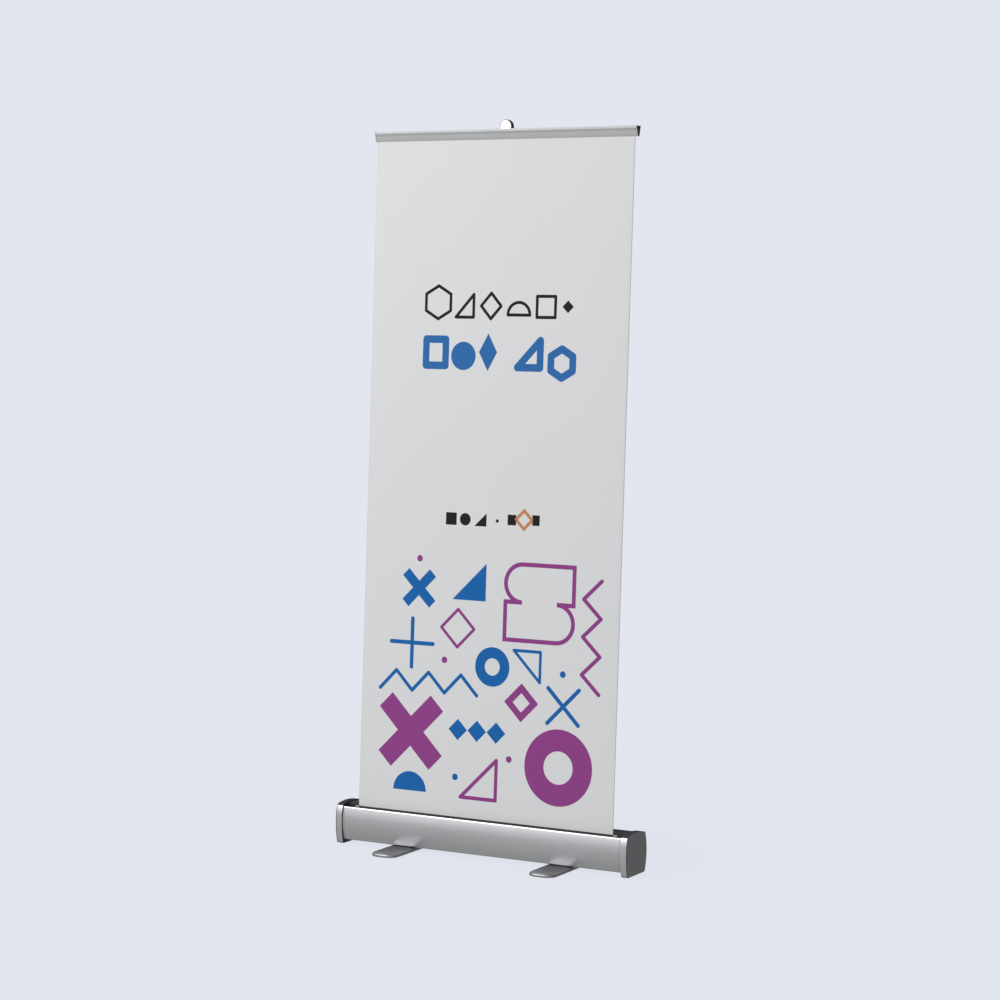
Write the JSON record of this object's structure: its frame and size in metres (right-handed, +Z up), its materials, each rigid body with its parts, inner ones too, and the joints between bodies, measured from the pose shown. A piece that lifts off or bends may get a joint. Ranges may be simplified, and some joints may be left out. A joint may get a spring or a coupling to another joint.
{
  "type": "roll-up banner stand",
  "caption": "Roll-up banner stand: silver cassette base with swivel feet, sprung roller, leaning printed banner, telescopic pole and clamp rail.",
  "frame": {"origin": "on the floor, below the middle of the cassette", "axes": "+Z up; +X along the cassette, to the right of someone who reads the banner; +Y to the back, the way the banner leans"},
  "size_m": [0.971, 0.33, 2.1266],
  "materials": {
    "satin_aluminium": "satin anodised silver",
    "silver_cap": "satin silver",
    "bright_hook": "polished",
    "graphite_plastic": "fine moulded grain",
    "black_plastic": "moulded, matt",
    "foot_plastic": "moulded, semi-matt with a rounded edge",
    "rubber": "matt",
    "zinc_steel": "zinc plated",
    "spring_steel": "oiled spring wire",
    "printed_film": null,
    "leader_film": "plain white film"
  },
  "bodies": {
    "base": {"cassette_shell": "satin_aluminium", "top_cover": "graphite_plastic", "slot_guide": "black_plastic", "end_cap_left": "silver_cap", "end_cap_right": "silver_cap", "end_cover_left": "graphite_plastic", "end_cover_right": "graphite_plastic", "cap_screw_left_front": "zinc_steel", "cap_screw_left_back": "zinc_steel", "cap_screw_left_top": "zinc_steel", "cap_screw_right_front": "zinc_steel", "cap_screw_right_back": "zinc_steel", "cap_screw_right_top": "zinc_steel", "roller_shaft": "zinc_steel", "torsion_spring": "spring_steel", "spring_anchor": "black_plastic", "pole_socket": "black_plastic", "socket_screw_left": "zinc_steel", "socket_screw_right": "zinc_steel", "pole_foot_plug": "black_plastic", "pole_lower_tube": "satin_aluminium", "leader_strip": "leader_film", "banner_sheet": "printed_film", "foot_bolt_left": "zinc_steel", "foot_washer_left": "zinc_steel", "foot_nut_left": "zinc_steel", "foot_bolt_right": "zinc_steel", "foot_washer_right": "zinc_steel", "foot_nut_right": "zinc_steel"},
    "roller": {"roller_tube": "satin_aluminium", "banner_roll": "printed_film", "roller_bush_left": "black_plastic", "roller_bush_right": "black_plastic"},
    "collar_lower": {"lock_collar_lower": "graphite_plastic"},
    "pole_middle": {"pole_middle_tube": "satin_aluminium"},
    "collar_upper": {"lock_collar_upper": "graphite_plastic"},
    "pole_upper": {"pole_upper_tube": "satin_aluminium", "pole_hook": "bright_hook", "rail_back_profile": "satin_aluminium", "rail_end_cap_left": "graphite_plastic", "rail_end_cap_right": "graphite_plastic"},
    "clamp_jaw": {"rail_front_jaw": "satin_aluminium"},
    "foot_left": {"foot_left": "foot_plastic", "foot_pad_left_front": "rubber", "foot_pad_left_back": "rubber"},
    "foot_right": {"foot_right": "foot_plastic", "foot_pad_right_front": "rubber", "foot_pad_right_back": "rubber"}
  },
  "joints": [
    {"name": "pole_upper_slide", "type": "slide", "parent": "base", "child": "pole_upper", "axis": [0, 0.0491, 0.9988], "range_m": [-1.21, 0], "deforming": ["banner_sheet"]},
    {"name": "pole_middle_slide", "type": "slide", "parent": "base", "child": "pole_middle", "axis": [0, 0.0491, 0.9988], "range_m": [-0.605, 0]},
    {"name": "roller_spin", "type": "hinge", "parent": "base", "child": "roller", "pos_m": [0, -0.01492, 0.05609], "axis": [1, 0, 0], "range_deg": [0, 4000]},
    {"name": "collar_lower_twist", "type": "hinge", "parent": "base", "child": "collar_lower", "pos_m": [0, 0.05232, 0.73713], "axis": [0, 0.0491, 0.9988], "range_deg": [0, 90]},
    {"name": "collar_upper_twist", "type": "hinge", "parent": "pole_middle", "child": "collar_upper", "pos_m": [0, 0.08616, 1.4263], "axis": [0, 0.0491, 0.9988], "range_deg": [0, 90]},
    {"name": "clamp_jaw_hinge", "type": "hinge", "parent": "pole_upper", "child": "clamp_jaw", "pos_m": [0, 0.0874, 2.09165], "axis": [1, 0, 0], "range_deg": [-50, 0]},
    {"name": "foot_left_swivel", "type": "hinge", "parent": "base", "child": "foot_left", "pos_m": [-0.262, 0, 0.0065], "axis": [0, 0, 1], "range_deg": [0, 90]},
    {"name": "foot_right_swivel", "type": "hinge", "parent": "base", "child": "foot_right", "pos_m": [0.262, 0, 0.0065], "axis": [0, 0, 1], "range_deg": [-90, 0]}
  ],
  "couplings": [
    {"joint": "pole_middle_slide", "follows": "pole_upper_slide", "ratio": 0.5},
    {"joint": "roller_spin", "follows": "pole_upper_slide", "rad_per_m": -57.471}
  ]
}
